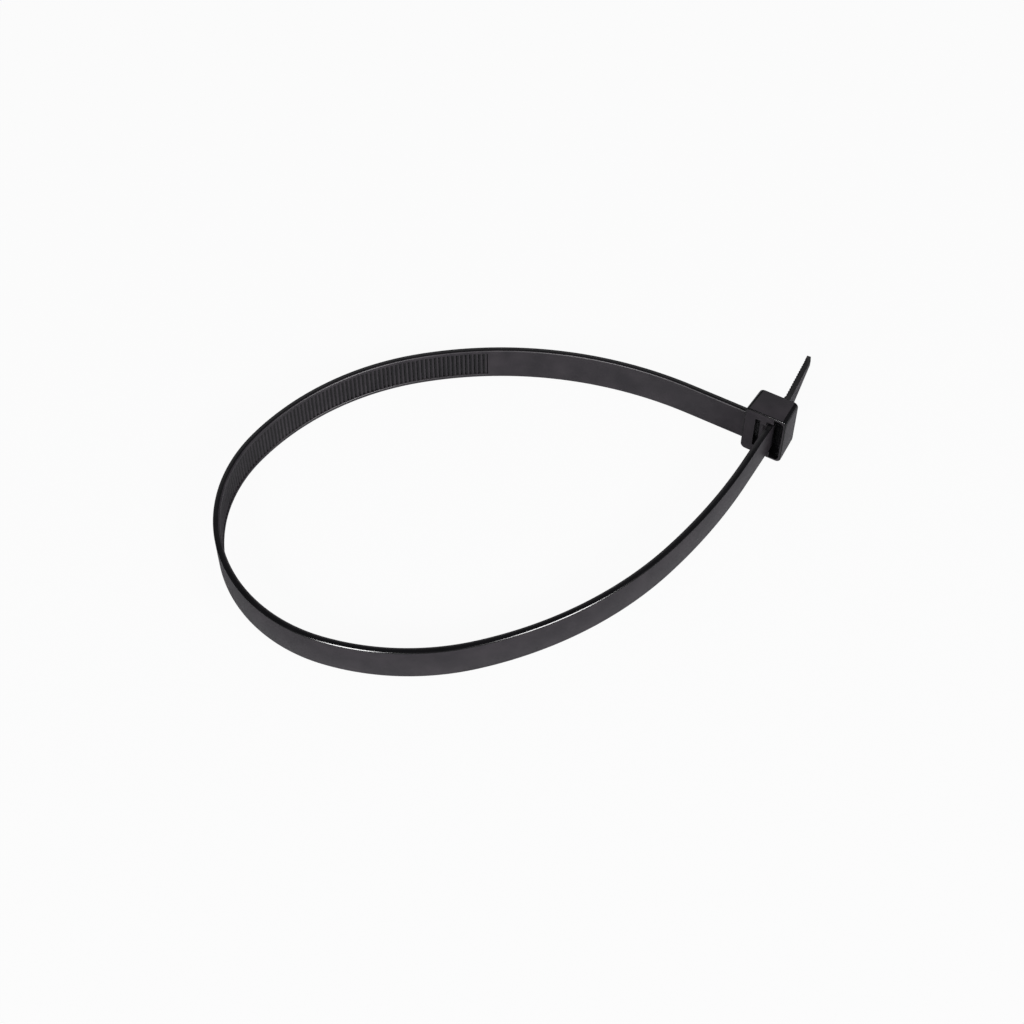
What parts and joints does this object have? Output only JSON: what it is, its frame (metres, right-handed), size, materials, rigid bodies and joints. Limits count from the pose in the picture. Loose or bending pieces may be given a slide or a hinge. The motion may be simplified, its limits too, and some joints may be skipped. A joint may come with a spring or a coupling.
{
  "type": "cable tie",
  "caption": "Black nylon cable tie closed in a wide loop, its toothed strap passed through the ratchet head with the slim tail standing out.",
  "frame": {"origin": "centre of the whole part's box in plan, on the level of the head's lowest point", "axes": "+Z across the strap's width, so the loop lies level and stands on edge; +X along the loop's long axis, from the far end to the head; +Y towards the side that the smooth stretch of strap next to the head lies on"},
  "size_m": [0.1186, 0.0766, 0.0117],
  "materials": {
    "moulded_nylon": "moulded black nylon, satin to gloss, smooth on the strap's back and rails"
  },
  "bodies": {
    "root": {"cable_tie": "moulded_nylon"}
  },
  "joints": []
}
